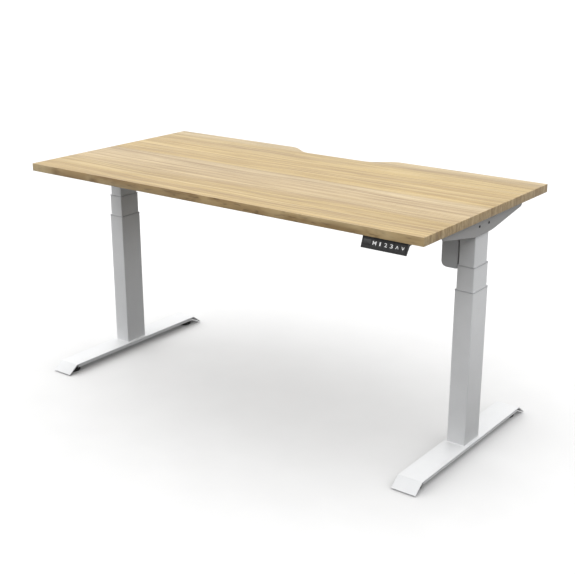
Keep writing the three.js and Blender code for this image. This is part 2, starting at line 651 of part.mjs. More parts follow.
function makePanel() {
  const back = PANEL.front + PANEL.thickness;
  const plate = box(-PANEL.halfX, PANEL.halfX, PANEL.front, back, PANEL.z0, PANEL.z1);
  const reachX = KEY.width / 2 + GAP;
  const reachZ = KEY.height / 2 + GAP;
  const windows = KEY_NAMES.map((_, index) => {
    const x = keyX(index);
    return box(x - reachX, x + reachX, PANEL.front - 1, back + 1, KEY.z - reachZ, KEY.z + reachZ);
  });
  return cut(plate, ...windows);
}

function makeKey() {
  const back = PANEL.front + PANEL.thickness + GAP;
  const halfX = KEY.width / 2;
  const halfZ = KEY.height / 2;
  const flangeX = halfX + KEY.flangeReachX;
  const flangeZ = halfZ + KEY.flangeReachZ;
  const cap = box(-halfX, halfX, KEY.front, back + 0.1, -halfZ, halfZ);
  return join(cap, box(-flangeX, flangeX, back, KEY.flangeBack, -flangeZ, flangeZ));
}

function makeHandset() {
  const frame = faceFrame();
  const shell = named("handset_case", makeHandsetCase(frame), BLACK_PLASTIC);
  frame.add(named("handset_panel", makePanel(), BLACK_PLASTIC));
  KEY_NAMES.forEach((name, index) => {
    const key = named(name, makeKey(), KEY_PLASTIC);
    key.position.set(keyX(index), 0, KEY.z);
    frame.add(key);
  });
  return [shell, frame];
}

// ------------------------------------------------------------------ leads, held under the top

function makeHandsetLead() {
  const start = HANDSET.tabY + GAP;
  const end = BOX.y0 - GAP;
  const { x: socketX, z: socketZ } = HANDSET_SOCKET;
  const route = [
    [HANDSET.x, start, LEAD_Z],
    [HANDSET.x, start + 20, LEAD_Z],
    [590, -235, LEAD_Z],
    [500, -200, LEAD_Z],
    [300, -150, LEAD_Z],
    [120, -110, LEAD_Z],
    [40, -75, LEAD_Z],
    [socketX, -40, LEAD_Z],
    [socketX, 30, LEAD_Z],
    [socketX, end - 11.7, socketZ + 1.5],
    [socketX, end, socketZ],
  ];
  return named("handset_lead", lead(route, HANDSET_LEAD.radius, HANDSET_LEAD.steps), LEAD_SHEATH);
}

function makeMotorLead() {
  const x = COLUMN_X + MOTOR.x;
  const y = FRAME_Y + COVER.halfY + GAP;
  const { y: socketY, z: socketZ } = MOTOR_SOCKET;
  const route = [
    [x, y, MOTOR_LEAD.outletZ],
    [x, y + 14, MOTOR_LEAD.outletZ],
    [x - 4, 64, 700],
    [x - 20, 84, 720],
    [596, 104, LEAD_Z - 2],
    [520, socketY, LEAD_Z],
    [360, socketY, LEAD_Z],
    [200, socketY, LEAD_Z],
    [160, socketY, socketZ + 10],
    [142, socketY, socketZ + 1],
    [BOX.halfX + GAP, socketY, socketZ],
  ];
  return named("motor_lead", lead(route, MOTOR_LEAD.radius, MOTOR_LEAD.steps), LEAD_SHEATH);
}

// ------------------------------------------------------------------ the desk

const desk = new THREE.Group();
desk.add(...makeTop());
desk.add(makeSide("left", -1), makeSide("right", 1), makeDrive());
desk.add(makeDriveShaft(), makeBeam(), ...makeControlBox(), ...makeHandset());
desk.add(makeHandsetLead(), makeMotorLead());

export default desk;
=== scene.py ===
import json
import math

import bmesh
import bpy
import numpy as np
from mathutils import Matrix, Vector

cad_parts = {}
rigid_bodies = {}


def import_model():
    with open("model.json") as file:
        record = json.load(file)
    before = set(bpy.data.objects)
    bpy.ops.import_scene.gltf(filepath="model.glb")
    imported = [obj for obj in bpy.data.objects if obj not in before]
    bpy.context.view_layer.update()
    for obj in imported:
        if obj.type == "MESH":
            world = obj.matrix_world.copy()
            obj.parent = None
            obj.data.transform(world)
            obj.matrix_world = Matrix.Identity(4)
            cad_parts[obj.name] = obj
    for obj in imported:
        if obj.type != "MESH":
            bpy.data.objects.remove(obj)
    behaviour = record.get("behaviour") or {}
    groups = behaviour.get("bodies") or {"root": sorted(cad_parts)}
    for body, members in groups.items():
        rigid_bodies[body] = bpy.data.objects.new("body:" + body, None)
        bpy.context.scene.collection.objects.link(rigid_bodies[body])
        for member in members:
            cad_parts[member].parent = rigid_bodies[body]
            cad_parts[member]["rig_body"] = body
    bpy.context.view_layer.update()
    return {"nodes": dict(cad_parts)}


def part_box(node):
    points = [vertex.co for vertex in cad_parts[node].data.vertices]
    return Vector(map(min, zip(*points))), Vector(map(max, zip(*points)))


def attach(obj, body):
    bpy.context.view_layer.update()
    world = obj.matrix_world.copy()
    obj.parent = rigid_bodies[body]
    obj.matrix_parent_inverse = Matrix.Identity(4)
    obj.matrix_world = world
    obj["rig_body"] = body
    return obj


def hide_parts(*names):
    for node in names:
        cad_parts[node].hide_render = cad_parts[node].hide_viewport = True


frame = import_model()
MM = 0.001

# %% [markdown]
# ## Camera
# A camera at the front right, at standing eye height, sees the top, the front edge and one end at once. A long lens
# keeps the uprights nearly parallel, as a catalogue picture does.
# %% Camera
CAMERA_PLACE = (2.03801, -2.65845, 1.50152)
CAMERA_TURN = (math.radians(71.362), 0.0, math.radians(37.02))
LENS_MM = 66.72

camera_data = bpy.data.cameras.new("camera")
camera_data.lens = LENS_MM
camera_data.sensor_width = 36
camera = bpy.data.objects.new("camera", camera_data)
camera.location = CAMERA_PLACE
camera.rotation_euler = CAMERA_TURN
bpy.context.scene.collection.objects.link(camera)
bpy.context.scene.camera = camera

# %% [markdown]
# ## Finishes
# Colours are written as sRGB hex digits, as a paint chart gives them, and one function turns them to the linear
# numbers that the shader wants. One more function adds a node with its settings and its inputs.
# %% Colour and node helpers


def linear(digits):
    """sRGB to linear: a channel up to 0.04045 is divided by 12.92, a larger one is ((c + 0.055) / 1.055) ** 2.4."""
    channel = np.array([int(digits[i : i + 2], 16) for i in (0, 2, 4)]) / 255
    low, high = channel / 12.92, ((channel + 0.055) / 1.055) ** 2.4
    return (*np.where(channel <= 0.04045, low, high).tolist(), 1.0)


def node(tree, kind, settings=None, inputs=None):
    """Adds one node: settings are its own properties, and an input is a constant or another node's output."""
    made = tree.nodes.new("ShaderNode" + kind)
    for key, value in (settings or {}).items():
        setattr(made, key, value)
    for key, value in (inputs or {}).items():
        if isinstance(value, bpy.types.NodeSocket):
            tree.links.new(value, made.inputs[key])
        else:
            made.inputs[key].default_value = value
    return made


def start_finish(name, **constants):
    """A material with one shader, whose constants sit on its own sockets; returns also the object coordinates."""
    material = bpy.data.materials.new(name)
    material.use_nodes = True
    tree = material.node_tree
    shader = tree.nodes["Principled BSDF"]
    for key, value in constants.items():
        shader.inputs[key.replace("_", " ")].default_value = value
    return material, tree, shader, node(tree, "TexCoord").outputs["Object"]


# %% [markdown]
# Most of the small finishes share one build: two close tints mixed by a fine noise, the same noise as a shallow
# bump, and a broader noise that makes some parts a little glossier than others. The size of the noise is the real
# size of the grain: orange peel in powder paint, spark texture in a mould, or the skin of a casting.
# %% The grained finish


def grained(name, dark, light, grain_mm, relief_mm, gloss, stretch=(1, 1, 1), **constants):
    """Two tints mixed by noise of grain_mm, bumped by relief_mm, with roughness between the two values of gloss."""
    material, tree, shader, place = start_finish(name, **constants)
    spread = node(tree, "Mapping", inputs={"Vector": place, "Scale": stretch}).outputs[0]
    fine = {"Vector": spread, "Scale": 1 / (grain_mm * MM), "Detail": 2.0}
    grain = node(tree, "TexNoise", inputs=fine).outputs["Fac"]
    broad = {"Vector": spread, "Scale": 1 / (60 * grain_mm * MM), "Detail": 3.0}
    patches = node(tree, "TexNoise", inputs=broad).outputs["Fac"]
    both = node(tree, "Math", {"operation": "ADD"}, {0: grain, 1: patches}).outputs[0]
    share = node(tree, "MapRange", inputs={"Value": both, "From Min": 0.7, "From Max": 1.3}).outputs[0]
    tint = {"Factor": share, 6: linear(dark), 7: linear(light)}
    colour = node(tree, "Mix", {"data_type": "RGBA"}, tint).outputs[2]
    rough = {"Value": patches, "From Min": 0.3, "From Max": 0.7, "To Min": gloss[0], "To Max": gloss[1]}
    roughness = node(tree, "MapRange", inputs=rough).outputs[0]
    relief = {"Height": grain, "Distance": relief_mm * MM, "Strength": 0.6}
    bump = node(tree, "Bump", inputs=relief).outputs[0]
    for socket, value in (("Base Color", colour), ("Roughness", roughness), ("Normal", bump)):
        tree.links.new(value, shader.inputs[socket])
    return material


# Powder paint on steel, silver grey: baked polyester with a faint orange peel 1.2 mm across.
powder_coat = grained("powder_coated_steel", "cfd0d1", "d6d7d8", 1.2, 0.03, (0.34, 0.44), IOR=1.5)
# The brackets wear the same paint, drawn in a darker, slightly warm grey: the darkness is painted shade from the board
# above.
bracket_coat_painted_shade = grained("powder_coat_with_painted_shade", "929190", "9a9998", 1.2, 0.03, (0.38, 0.48), IOR=1.5)
# The guide rims are moulded nylon, dull and a little darker than the paint.
guide_nylon = grained("moulded_nylon", "b4b5b7", "bebfc1", 0.8, 0.02, (0.5, 0.62), IOR=1.53)
# The motor cover is moulded ABS with a fine spark texture, a little darker than the paint.
cover_abs = grained("grey_moulded_abs", "b9babb", "c1c2c3", 0.6, 0.03, (0.45, 0.58), IOR=1.54)
# Black ABS for the control box and the handset: the mould's spark texture scatters the highlights.
black_abs = grained("black_moulded_abs", "0c0c0d", "111112", 0.5, 0.04, (0.42, 0.56), IOR=1.46)
# Keys carry a soft-touch lacquer, matt and very slightly lighter.
key_lacquer = grained("soft_touch_lacquer", "1c1c1d", "202021", 0.4, 0.015, (0.5, 0.6), IOR=1.46)
smoked_acrylic = grained("smoked_acrylic", "101011", "151516", 1.5, 0.002, (0.06, 0.1), IOR=1.49)
legend_ink = grained("white_pad_print", "ececec", "f6f6f6", 0.3, 0.01, (0.5, 0.6), IOR=1.48)
# Glide pads are moulded rubber: nearly black, with a dull bloom.
rubber = grained("moulded_rubber", "121212", "1b1b1b", 0.9, 0.06, (0.75, 0.9), IOR=1.52)
# Zinc plating on turned and pressed steel: bright, bluish, in small crystals.
zinc = grained("zinc_plated_steel", "9da1a5", "bfc3c7", 0.7, 0.015, (0.28, 0.42), Metallic=1.0)
# Ground steel of the screws: fine rings round the bar.
ground_steel = grained("ground_steel", "85888b", "a3a6a9", 0.35, 0.01, (0.22, 0.34), (0.2, 0.2, 1), Metallic=1.0)
black_oxide = grained("black_oxide_steel", "18191a", "242527", 0.5, 0.02, (0.35, 0.5), Metallic=0.9)
# Die-cast aluminium keeps the flow marks and the fine skin of its die.
cast_alloy = grained("die_cast_aluminium", "8f9193", "a6a8aa", 1.6, 0.08, (0.42, 0.6), Metallic=1.0)
gear_nylon = grained("natural_gear_nylon", "d8d3c0", "e6e1cf", 0.8, 0.01, (0.4, 0.5), IOR=1.53)
# PVC sheath: smooth, extruded, faintly drawn out along the lead.
sheath = grained("black_pvc_sheath", "151516", "1d1d1e", 0.8, 0.02, (0.4, 0.55), IOR=1.53)

# %% [markdown]
# ## Oak laminate
# The board wears a printed oak paper under melamine. The print shows planks 200 to 300 mm wide, some golden and
# some pinkish, and in each the growth rings run along the board as streaks that drift together and apart. So the
# streaks are made as level lines: the distance across the board is first shifted by a slow noise, and one narrow
# noise is then read at the shifted distance. Pores are short dark ticks, 30 mm long and under 1 mm wide.
# %% The oak print
PLANKS = (  # distance across the board in metres from the front edge, and the plank's tint
    (0.000, "b09559"),
    (0.155, "ac9256"),
    (0.168, "b39b6b"),
    (0.270, "b59e73"),
    (0.368, "b5a078"),
    (0.376, "b2985b"),
    (0.384, "b39859"),
    (0.560, "b09556"),
    (0.680, "b29a62"),
    (0.698, "b39f75"),
    (0.750, "bba77e"),
)
BOARD_DEPTH = 0.75


def across(tree, place, stretch, drift, seed):
    """Object coordinates stretched per axis, with the across value shifted by a slow noise of size drift."""
    slow = {"Vector": place, "Scale": stretch, "Location": (seed, seed, 0)}
    slow_place = node(tree, "Mapping", inputs=slow).outputs[0]
    wander = node(tree, "TexNoise", inputs={"Vector": slow_place, "Scale": 1.0, "Detail": 2.0}).outputs["Fac"]
    shift = {0: wander, 1: drift, 2: -drift / 2}
    amount = node(tree, "Math", {"operation": "MULTIPLY_ADD"}, shift).outputs[0]
    offset = node(tree, "CombineXYZ", inputs={"Y": amount}).outputs[0]
    return node(tree, "VectorMath", {"operation": "ADD"}, {0: place, 1: offset}).outputs[0]


def streaks(tree, place, stretch, low, high, seed=0.0, detail=2.0):
    """Noise read at stretched coordinates, cut to the range low to high: long in x and narrow across."""
    long = node(tree, "Mapping", inputs={"Vector": place, "Scale": stretch, "Location": (seed, seed, seed)})
    noise = {"Vector": long.outputs[0], "Scale": 1.0, "Detail": detail, "Roughness": 0.55}
    value = node(tree, "TexNoise", inputs=noise).outputs["Fac"]
    return node(tree, "MapRange", inputs={"Value": value, "From Min": low, "From Max": high}).outputs[0]


def darkened(tree, colour, factor, tint, strength):
    """Multiplies a colour by a tint where the factor is high, by at most strength."""
    share = node(tree, "Math", {"operation": "MULTIPLY"}, {0: factor, 1: strength}).outputs[0]
    mixed = {0: share, 6: colour, 7: linear(tint)}
    return node(tree, "Mix", {"data_type": "RGBA", "blend_type": "MULTIPLY"}, mixed).outputs[2]


def oak(name, base, rise, gloss):
    """The oak print: base gives the plain colour node's output, rise is the pattern's stretch up the board's edge."""
    material, tree, shader, place = start_finish(name, IOR=1.5)
    drifted = across(tree, place, (1.6, 6.0, 0.4), 0.045, 3.7)
    colour = base(tree, place)
    wide = streaks(tree, drifted, (0.8, 30, 0.2 * rise), 0.42, 0.66)
    middle = streaks(tree, drifted, (1.6, 95, rise), 0.44, 0.68, 7.0)
    fine = streaks(tree, drifted, (5, 420, 4 * rise), 0.42, 0.72, 2.0)
    pores = streaks(tree, place, (30, 1500, 12 * rise), 0.6, 0.72, 5.0, 1.0)
    light = streaks(tree, drifted, (1.1, 120, rise), 0.5, 0.72, 11.0)
    for factor, tint, strength in (
        (wide, "c9b791", 0.5),
        (middle, "b5a27a", 0.55),
        (fine, "a8966f", 0.7),
        (pores, "7a6a49", 0.5),
    ):
        colour = darkened(tree, colour, factor, tint, strength)
    glow = node(tree, "Math", {"operation": "MULTIPLY"}, {0: light, 1: 0.3}).outputs[0]
    lifted = {0: glow, 6: colour, 7: linear("e0cfa6")}
    colour = node(tree, "Mix", {"data_type": "RGBA"}, lifted).outputs[2]
    rough = {"Value": fine, "To Min": gloss[0], "To Max": gloss[1]}
    roughness = node(tree, "MapRange", inputs=rough).outputs[0]
    depth = node(tree, "Math", {"operation": "ADD"}, {0: pores, 1: fine}).outputs[0]
    bump = {"Height": depth, "Distance": 0.05 * MM, "Strength": 0.5}
    normal = node(tree, "Bump", {"invert": True}, bump).outputs[0]
    for socket, value in (("Base Color", colour), ("Roughness", roughness), ("Normal", normal)):
        tree.links.new(value, shader.inputs[socket])
    return material


def planks(tree, place):
    """The plank's tint, read from the distance across the board."""
    split = node(tree, "SeparateXYZ", inputs={"Vector": place}).outputs["Y"]
    half = BOARD_DEPTH / 2
    share = node(tree, "MapRange", inputs={"Value": split, "From Min": -half, "From Max": half}).outputs[0]
    ramp = node(tree, "ValToRGB", inputs={"Fac": share})
    stops = ramp.color_ramp.elements
    stops[0].position, stops[0].color = 0.0, linear(PLANKS[0][1])
    stops[1].position, stops[1].color = 1.0, linear(PLANKS[-1][1])
    for distance, tint in PLANKS[1:-1]:
        stop = stops.new(distance / BOARD_DEPTH)
        stop.color = linear(tint)
    return ramp.outputs["Color"]


def band_tint(tree, place):
    """The edge band's own print, one shade darker than the planks."""
    slow = node(tree, "TexNoise", inputs={"Vector": place, "Scale": 2.5, "Detail": 2.0}).outputs["Fac"]
    mixed = {0: slow, 6: linear("ad9367"), 7: linear("b7a076")}
    return node(tree, "Mix", {"data_type": "RGBA"}, mixed).outputs[2]


oak_laminate = oak("oak_print_melamine", planks, 12, (0.4, 0.5))
oak_edge = oak("oak_print_abs_edging", band_tint, 14, (0.45, 0.55))
print("finishes:", len(bpy.data.materials))

# %% [markdown]
# ## Shapes from numbers
# A shape is a grid of points: one direction runs round the piece and the other along it. Three ideas make nearly
# everything here. A slab carries one outline through a rounded profile, a hollow bar carries it round a closed
# profile, and a turned piece carries a circle up a profile. All sizes are millimetres until the mesh is written.
# %% Grid helpers


def shell(rows, closed=False):
    """Joins each point (i, j) to its neighbours in four-sided faces. Rows that aren't closed get a cap at each end."""
    along_count, round_count = rows.shape[:2]
    i = np.arange(along_count if closed else along_count - 1)[:, None]
    j = np.arange(round_count)[None, :]
    after_i, after_j = (i + 1) % along_count, (j + 1) % round_count
    here, there = i * round_count, after_i * round_count
    corners = (here + j, here + after_j, there + after_j, there + j)
    faces = np.stack(np.broadcast_arrays(*corners), -1).reshape(-1, 4).tolist()
    if not closed:
        first = list(range(round_count))
        faces.append(first[::-1])
        faces.append([k + (along_count - 1) * round_count for k in first])
    return rows.reshape(-1, 3), faces


def joined(*parts):
    """Several parts as one, each one's point numbers moved past those before it."""
    starts = np.cumsum([0] + [len(points) for points, _ in parts])
    faces = [[k + start for k in face] for start, (_, some) in zip(starts, parts) for face in some]
    return np.concatenate([points for points, _ in parts]), faces


def rounded_rectangle(width, depth, radius, steps=6):
    """Anticlockwise outline: each corner's centre plus radius times (cosine, sine) over its quarter turn."""
    quarter = np.linspace(0, math.pi / 2, steps + 1)
    angle = quarter[None, :] + np.arange(4)[:, None] * math.pi / 2
    sign = np.array([[1, 1], [-1, 1], [-1, -1], [1, -1]])
    centre = sign * [width / 2 - radius, depth / 2 - radius]
    ring = radius * np.stack([np.cos(angle), np.sin(angle)], -1)
    return (centre[:, None, :] + ring).reshape(-1, 2)


def soft_corners(corners, reach, steps=5):
    """Anticlockwise outline whose corners are parabolas: (1-s)^2 A + 2s(1-s) C + s^2 B, A and B at reach from C."""
    corner = np.array(corners, float)
    area = np.cross(corner, np.roll(corner, -1, 0)).sum()
    reach = np.broadcast_to(np.array(reach, float), len(corner))
    if area < 0:
        corner, reach = corner[::-1], reach[::-1]
    back, ahead = np.roll(corner, 1, 0) - corner, np.roll(corner, -1, 0) - corner
    back = back / np.linalg.norm(back, axis=1, keepdims=True) * reach[:, None]
    ahead = ahead / np.linalg.norm(ahead, axis=1, keepdims=True) * reach[:, None]
    s = np.linspace(0, 1, steps + 1)[None, :, None]
    curve = corner[:, None] + (1 - s) ** 2 * back[:, None] + s**2 * ahead[:, None]
    return curve.reshape(-1, 2)


def inset(outline, distance):
    """Moves every side inwards by distance: a corner shifts along the sum of its sides' normals, scaled to fit both."""
    edge = np.roll(outline, -1, 0) - outline
    normal = np.stack([edge[:, 1], -edge[:, 0]], 1)
    normal /= np.linalg.norm(normal, axis=1, keepdims=True)
    both = normal + np.roll(normal, 1, 0)
    return outline - distance * both * 2 / (both**2).sum(1, keepdims=True)


def carried(outline, profile, closed=False):
    """The outline at each (inset, height) of the profile, as a shell."""
    rows = [np.column_stack([inset(outline, d), np.full(len(outline), h)]) for d, h in profile]
    return shell(np.array(rows), closed)


def slab(outline, low, high, radius, steps=3):
    """A solid slab: the profile is a quarter circle at the lower edge, the side, and a quarter circle at the upper."""
    turn = np.linspace(0, math.pi / 2, steps + 1)
    bottom = np.column_stack([radius * (1 - np.sin(turn)), low + radius * (1 - np.cos(turn))])
    top = np.column_stack([bottom[::-1, 0], low + high - bottom[::-1, 1]])
    return carried(outline, np.concatenate([bottom, top]))


def hollow(outline, wall, low, high, lip, steps=2):
    """An open-ended tube: the profile is the wall's own section, a rectangle with corners of radius lip."""
    section = rounded_rectangle(wall, high - low, lip, steps)
    profile = np.column_stack([wall / 2 - section[:, 0], (low + high) / 2 + section[:, 1]])
    return carried(outline, profile, closed=True)


def turned(profile, sides=32, ripple=0.0, waves=0):
    """A profile of (radius, height) turned about the upright axis; a ripple of so many waves may ride on the radius."""
    angle = np.linspace(0, 2 * math.pi, sides, endpoint=False)
    radius, height = np.array(profile, float).T
    swell = 1 + ripple * np.cos(waves * angle)
    ring = radius[:, None] * swell[None, :]
    upright = np.broadcast_to(height[:, None], ring.shape)
    return shell(np.stack([ring * np.cos(angle), ring * np.sin(angle), upright], -1))


def along(axis, part):
    """Lays a part down: its height runs along x, with the outline in (y, z), or along y, with the outline in (z, x)."""
    order = {"x": (2, 0, 1), "y": (1, 2, 0)}[axis]
    return part[0][:, order], part[1]


def moved(part, *offset):
    """The part shifted by (x, y, z)."""
    return part[0] + np.array(offset, float), part[1]


def aimed(part, direction, place):
    """The part turned so that its height points along direction, with its base at place."""
    turn = np.array(Vector(direction).to_track_quat("Z", "Y").to_matrix())
    return part[0] @ turn.T + np.array(place, float), part[1]


def box_mm(name):
    """A CAD node's lowest and highest corners, in millimetres."""
    low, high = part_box(name)
    return np.array(low) / MM, np.array(high) / MM


# %% [markdown]
# A new piece rides on the body of the node that it stands for, so it moves as the real one does. Faces that meet at
# a small angle are shaded as one smooth surface, and the others keep their edge.
# %% From numbers to pieces


def show(name, mesh, body, finish, stands_for=()):
    """Links a mesh as a piece that rides on a body, with its finish and the nodes that it replaces."""
    mesh.materials.clear()
    mesh.materials.append(finish)
    mesh.shade_smooth()
    mesh.set_sharp_from_angle(angle=math.radians(35))
    piece = bpy.data.objects.new(name, mesh)
    bpy.context.scene.collection.objects.link(piece)
    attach(piece, body)
    if stands_for:
        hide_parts(*stands_for)
    return piece


def add_piece(name, part, body, finish, stands_for=()):
    """Writes a part in millimetres as a mesh in metres and shows it."""
    points, faces = part
    mesh = bpy.data.meshes.new(name)
    mesh.from_pydata((points * MM).tolist(), [], faces)
    return show(name, mesh, body, finish, stands_for)


def body_of(name):
    """The body that a CAD node rides on."""
    return frame["nodes"][name]["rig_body"]


def stand_in(name, part, finish):
    """A new piece in the place of one CAD node, on its body."""
    return add_piece(name + "_finished", part, body_of(name), finish, (name,))


def refined(name, finish, edge_mm=0.0):
    """A copy of a CAD node, its loose triangles merged into whole flat faces, with edges rounded to edge_mm."""
    form = bmesh.new()
    form.from_mesh(frame["nodes"][name].data)
    bmesh.ops.remove_doubles(form, verts=form.verts, dist=2e-6)
    bmesh.ops.dissolve_limit(form, angle_limit=math.radians(0.5), verts=form.verts, edges=form.edges)
    mesh = bpy.data.meshes.new(name + "_finished")
    form.to_mesh(mesh)
    form.free()
    piece = show(name + "_finished", mesh, body_of(name), finish, (name,))
    if edge_mm:
        bevel = piece.modifiers.new("edge", "BEVEL")
        bevel.width = edge_mm * MM
        bevel.segments = 2
        bevel.limit_method = "ANGLE"
        bevel.angle_limit = math.radians(35)
        bevel.harden_normals = True
    return piece


# %% [markdown]
# ## Sides
# Both sides are the same parts, mirrored. Each is worked out in its column's own frame, where x points outwards
# from the desk and the column's axis is upright, and one function puts it on the left or on the right.
# %% Placing a side
SIDES = {"left": -1, "right": 1}
column_low, column_high = box_mm("right_outer_tube")
COLUMN_X, FRAME_Y = ((column_low + column_high) / 2)[:2]


def placed(part, side):
    """A part from the column's frame to the desk's: on the left x changes sign, and the faces are turned round."""
    points, faces = part
    sign = SIDES[side]
    out = points * [sign, 1, 1] + [sign * COLUMN_X, FRAME_Y, 0]
    return out, faces if sign > 0 else [face[::-1] for face in faces]


# %% [markdown]
# ## Edge band
# A 1.5 mm band is glued round the board, and its arris is scraped to a small radius. The outline is the board's own:
# a rectangle whose rear edge steps forward in a shallow scallop, where cables drop down.
# %% Edge band
band_low, band_high = box_mm("edge_band")
SCALLOP_FLOOR, SCALLOP_MOUTH, SCALLOP_DEPTH, SCALLOP_REACH = 135, 208, 55, 22
ARRIS = 0.7
BAND_WALL = 1.8

front, rear, end = band_low[1], band_high[1], band_high[0]
step_y = rear - SCALLOP_DEPTH
board_corners = [
    (-end, front), (end, front), (end, rear), (SCALLOP_MOUTH, rear), (SCALLOP_FLOOR, step_y),
    (-SCALLOP_FLOOR, step_y), (-SCALLOP_MOUTH, rear), (-end, rear),
]  # fmt: skip
board_reach = [1, 1, 1] + [SCALLOP_REACH] * 4 + [1]
board_outline = soft_corners(board_corners, board_reach, 8)
round_over = np.linspace(0, math.pi / 2, 4)
arris = ARRIS * (1 - np.column_stack([np.sin(round_over), np.cos(round_over)]))
lower_arris = arris + [0, band_low[2]]
upper_arris = np.column_stack([lower_arris[::-1, 0], band_low[2] + band_high[2] - lower_arris[::-1, 1]])
inner_edge = [(BAND_WALL, band_high[2]), (BAND_WALL, band_low[2])]
band_profile = np.concatenate([lower_arris, upper_arris, inner_edge])
stand_in("edge_band", carried(board_outline, band_profile, closed=True), oak_edge)
print("edge band:", len(board_outline), "points round the board")

# %% [markdown]
# ## Columns
# Each tube is drawn steel with rounded corners, open at both ends. A moulded rim stands a millimetre proud in each
# mouth, with a thin sleeve inside it that the next tube slides in. A small weld bead joins the column to its foot.
# %% Columns
TUBE_WALL = 1.5
TUBES = {"outer": 3.0, "middle": 2.6, "inner": 2.2}  # corner radius of each tube
RIM_PROUD, RIM_HEIGHT, RIM_WALL, SLEEVE_WALL = 1.0, 3.0, 3.45, 0.65
BEAD = ((-2.0, 32.4), (-1.5, 33.1), (-0.8, 33.9), (-0.15, 34.9), (0.9, 34.9), (0.9, 32.4))


def tube_outline(name, radius, grow=0.0):
    """The tube's rounded rectangle, grown by so much on every side, in the column's frame."""
    low, high = box_mm(name)
    width, depth = (high - low)[:2] + 2 * grow
    return rounded_rectangle(width, depth, radius + grow, 8), low[2], high[2]


for side in SIDES:
    for stage, radius in TUBES.items():
        name = f"{side}_{stage}_tube"
        outline, low, high = tube_outline(name, radius)
        stand_in(name, placed(hollow(outline, TUBE_WALL, low, high, 0.5), side), powder_coat)
        if stage == "inner":
            continue
        rim_outline = tube_outline(name, radius, RIM_PROUD)[0]
        sleeve_outline = tube_outline(name, radius, -TUBE_WALL - 0.3)[0]
        collar_low, collar_high = box_mm(f"{side}_{stage}_collar")
        rim = hollow(rim_outline, RIM_WALL, collar_high[2] - RIM_HEIGHT, collar_high[2], 0.8)
        sleeve = hollow(sleeve_outline, SLEEVE_WALL, collar_low[2], collar_high[2] - 1, 0.2)
        stand_in(f"{side}_{stage}_collar", placed(joined(rim, sleeve), side), guide_nylon)
    bead = carried(tube_outline(f"{side}_outer_tube", TUBES["outer"])[0], BEAD, closed=True)
    add_piece(f"{side}_weld_bead", placed(bead, side), f"{side}_base", powder_coat)
print("columns at x =", round(COLUMN_X), "mm either side")

# %% [markdown]
# ## Feet
# A foot is one strip of 3.6 mm plate, cut with a laser and bent down at both ends in a press. A shallow channel is
# welded under it, which stops it from flexing. Bends have a radius, so the light rolls over them.
# %% Feet
FOOT_HALF, FLAP_RUN, PLATE, FOOT_TOP, TIP_Z = 346.5, 37.0, 3.6, 32.4, 1.6
CHANNEL_WALL, CHANNEL_BEND = 2.4, 3.0

foot_low, foot_high = box_mm("right_foot_plate")
foot_half_width = (foot_high[0] - foot_low[0]) / 2
drop = FOOT_TOP - TIP_Z - PLATE
slope = math.atan2(drop, FLAP_RUN)
flat = FOOT_HALF - FLAP_RUN
half_foot = [
    (flat, FOOT_TOP),
    (FOOT_HALF, FOOT_TOP - drop),
    (FOOT_HALF - PLATE * math.sin(slope), FOOT_TOP - drop - PLATE * math.cos(slope)),
    (flat - PLATE * math.tan(slope / 2), FOOT_TOP - PLATE),
]
foot_corners = half_foot + [(-y, z) for y, z in half_foot[::-1]]
foot_outline = soft_corners(foot_corners, [3.0, 1.0, 1.0, 1.8, 1.8, 1.0, 1.0, 3.0])
foot_plate = along("x", slab(foot_outline, -foot_half_width, foot_half_width, 0.3))

channel_low, channel_high = box_mm("right_foot_channel")
half = (channel_high[0] - channel_low[0]) / 2
low, high = channel_low[2], channel_high[2]
channel_corners = [
    (high, half), (low, half), (low, -half), (high, -half), (high, CHANNEL_WALL - half),
    (low + CHANNEL_WALL, CHANNEL_WALL - half), (low + CHANNEL_WALL, half - CHANNEL_WALL),
    (high, half - CHANNEL_WALL),
]  # fmt: skip
channel_reach = [0.3, CHANNEL_BEND, CHANNEL_BEND, 0.3, 0.3, 1.2, 1.2, 0.3]
channel_half = (channel_high[1] - channel_low[1]) / 2
channel = along("y", slab(soft_corners(channel_corners, channel_reach), -channel_half, channel_half, 0.3))
for side in SIDES:
    stand_in(f"{side}_foot_plate", placed(foot_plate, side), powder_coat)
    stand_in(f"{side}_foot_channel", placed(channel, side), powder_coat)
print("feet:", round(2 * FOOT_HALF), "mm long, flaps sloping", round(math.degrees(slope)), "degrees")

# %% [markdown]
# ## Glides
# Each foot stands on two round glides. A glide is a threaded stud with a moulded rubber pad. The pad is turned from
# a profile, with a fine ripple on its rim for the fingers, because turning it raises or lowers the foot.
# %% Glides
PAD_PROFILE = (
    (24.0, 0), (25.2, 0.25), (25.9, 1.0), (26.0, 1.6), (26.0, 6.2), (25.6, 7.2), (22.4, 10.4), (21.2, 10.9),
    (10.4, 11.8), (9.2, 12.3), (9.0, 13.4), (8.6, 14.0), (6.0, 14.0), (5.6, 13.6), (5.6, 6.1),
)  # fmt: skip
for side in SIDES:
    for place in ("front", "rear"):
        name = f"{side}_{place}_glide_pad"
        low, high = box_mm(name)
        pad = moved(turned(PAD_PROFILE, 96, 0.003, 32), *((low + high) / 2)[:2], 0)
        stand_in(name, pad, rubber)

# %% [markdown]
# ## Side brackets
# A bracket is one sheet: a deep web on the outside, bent over at the top into a flange that the board is screwed to.
# Its section is the same all the way along but for the web's lower edge, which rises to a rounded tip. So the grid
# runs round the sheet's section in one direction and along the bracket in the other.
# %% Side brackets
WEB_OUT, WEB_IN, SHEET_TOP, SHEET_UNDER, FLANGE_EDGE = 29.0, 26.5, 732.7, 730.2, -40.0
BRACKET_HALF, WEB_FLAT, KNEE, WEB_FLAT_Z, WEB_TIP_Z, TIP_RADIUS = 243.0, 50.0, 22.0, 682.4, 715.6, 10.0
BEND_OUT, BEND_IN, ROUND = 4.5, 2.0, 0.6


